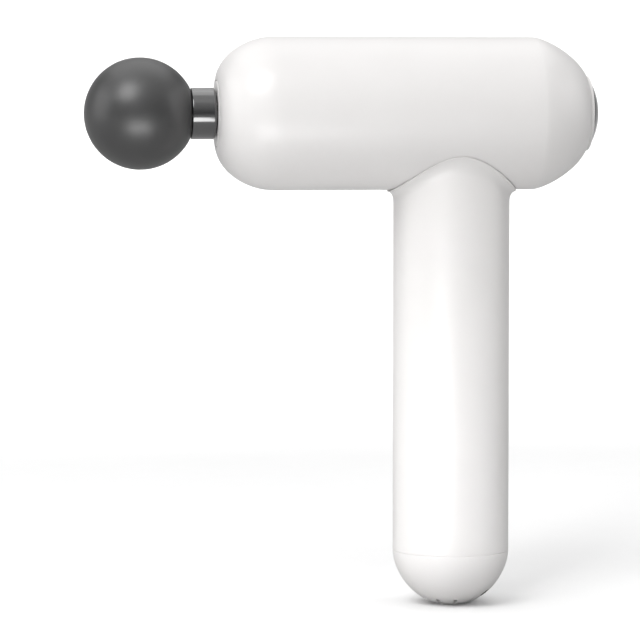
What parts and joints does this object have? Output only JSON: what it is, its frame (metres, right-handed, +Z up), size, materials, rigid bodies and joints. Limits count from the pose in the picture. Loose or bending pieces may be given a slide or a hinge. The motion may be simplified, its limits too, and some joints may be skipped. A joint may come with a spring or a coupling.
{
  "type": "massage gun",
  "caption": "Hand-held percussion massager: round head across a round battery handle, ball attachment on a crank-driven piston, domed rear panel with a power button.",
  "frame": {"origin": "centre of the small flat on the handle's end, on the handle's axis", "axes": "+Z up the handle's axis to the head, -X along the head's axis to the nose and the ball, Y across, with the two shell halves meeting at Y = 0"},
  "size_m": [0.2055, 0.0608, 0.2269],
  "materials": {
    "white_shell": "gloss, moulded",
    "grey_ball": "satin",
    "dark_gloss": "gloss",
    "black_plastic": "satin",
    "diffuser": "frosted",
    "rubber": "matte",
    "nylon": "satin",
    "steel": "ground",
    "alloy": "cast",
    "copper": "enamelled",
    "circuit_board": "satin",
    "cell_wrap": "satin film",
    "red_wire": "satin",
    "yellow_wire": "satin",
    "black_wire": "satin"
  },
  "bodies": {
    "housing": {"head_shell_left": "white_shell", "head_shell_right": "white_shell", "handle_shell": "white_shell", "bottom_cap": "white_shell", "nose_ring": "white_shell", "rear_bezel": "white_shell", "panel_lens": "dark_gloss", "light_ring": "diffuser", "charge_port": "black_plastic", "nose_seal": "rubber", "shell_screw_1": "steel", "shell_screw_2": "steel", "shell_screw_3": "steel", "shell_screw_4": "steel", "neck_screw_1": "steel", "neck_screw_2": "steel", "neck_screw_3": "steel", "neck_screw_4": "steel", "motor_screw_1": "steel", "motor_screw_2": "steel", "drive_frame": "alloy", "front_damper": "rubber", "rear_damper": "rubber", "piston_sleeve": "nylon", "motor_base": "alloy", "stator_core": "steel", "stator_winding": "copper", "bearing_upper": "steel", "bearing_lower": "steel", "cell_1": "cell_wrap", "cell_2": "cell_wrap", "cell_3": "cell_wrap", "cell_4": "cell_wrap", "cell_5": "cell_wrap", "cell_6": "cell_wrap", "cell_holder_lower": "nylon", "cell_spacer": "nylon", "cell_holder_upper": "nylon", "driver_board": "circuit_board", "control_board": "circuit_board", "charge_board": "circuit_board", "battery_lead": "red_wire", "motor_lead": "yellow_wire", "charge_lead": "black_wire", "panel_lead": "black_wire"},
    "rotor": {"rotor_bell": "alloy", "magnet_ring": "steel", "motor_shaft": "steel", "crank_disc": "steel"},
    "piston": {"piston": "steel", "wrist_pin": "steel"},
    "rod": {"conrod": "alloy", "big_end_bearing": "steel", "crank_pin": "steel", "pin_clip": "steel"},
    "attachment": {"ball": "grey_ball", "stem": "dark_gloss", "stem_o_ring_1": "rubber", "stem_o_ring_2": "rubber"},
    "button": {"power_button": "black_plastic"}
  },
  "joints": [
    {"name": "motor_spin", "type": "hinge", "parent": "housing", "child": "rotor", "pos_m": [0, 0, 0.1965], "axis": [0, 0, 1], "continuous": true},
    {"name": "piston_stroke", "type": "slide", "parent": "housing", "child": "piston", "axis": [-1, 0, 0], "range_m": [0, 0.01]},
    {"name": "rod_tilt", "type": "hinge", "parent": "piston", "child": "rod", "pos_m": [-0.037, 0, 0.1965], "axis": [0, 0, 1], "range_deg": [-6.84, 6.84]},
    {"name": "attachment_pull", "type": "slide", "parent": "piston", "child": "attachment", "axis": [-1, 0, 0], "range_m": [0, 0.02]},
    {"name": "power_button", "type": "slide", "parent": "housing", "child": "button", "axis": [-1, 0, 0], "range_m": [0, 0.0006], "stiffness_N_per_m": 2000, "springref_m": -0.0004}
  ]
}
